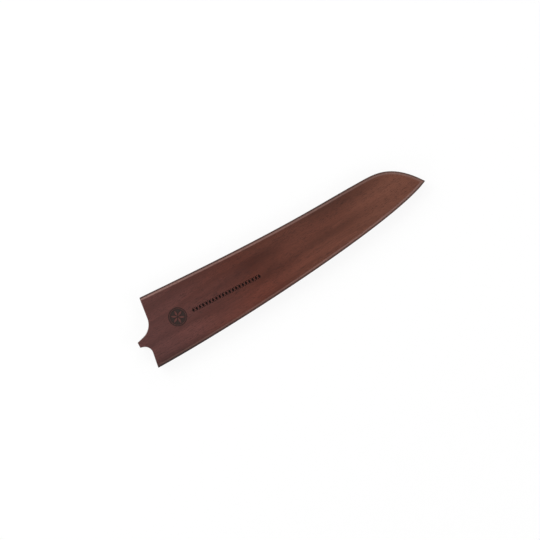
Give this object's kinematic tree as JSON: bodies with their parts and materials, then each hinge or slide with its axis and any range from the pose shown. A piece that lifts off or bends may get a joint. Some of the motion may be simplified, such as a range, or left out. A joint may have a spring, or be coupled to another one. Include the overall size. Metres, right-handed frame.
{
  "type": "knife blade guard",
  "caption": "Flat wooden guard with a blade-shaped slot, open at one end, that covers a chef's knife blade and holds it with hidden magnets.",
  "frame": {"origin": "on the back face, under the middle of the guard's bounding box", "axes": "+X along the guard from the mouth to the toe, +Y across it to the blade's spine side, +Z out of the front face"},
  "size_m": [0.271, 0.058, 0.0136],
  "materials": {
    "panel_walnut": "dark walnut, oiled to a satin, flat faces with light chamfered edges",
    "rail_walnut": "dark walnut, sanded flush with the panels, satin",
    "wool_felt": "pressed wool felt, charcoal, soft matte",
    "magnet_nickel": "nickel plate, smooth"
  },
  "bodies": {
    "root": {"front_panel": "panel_walnut", "back_panel": "panel_walnut", "spine_rail": "rail_walnut", "nose_rail": "rail_walnut", "belly_rail": "rail_walnut", "front_liner": "wool_felt", "back_liner": "wool_felt", "front_magnet_1": "magnet_nickel", "front_magnet_2": "magnet_nickel", "front_magnet_3": "magnet_nickel", "front_magnet_4": "magnet_nickel", "front_magnet_5": "magnet_nickel", "front_magnet_6": "magnet_nickel", "back_magnet_1": "magnet_nickel", "back_magnet_2": "magnet_nickel", "back_magnet_3": "magnet_nickel", "back_magnet_4": "magnet_nickel", "back_magnet_5": "magnet_nickel", "back_magnet_6": "magnet_nickel"}
  },
  "joints": []
}
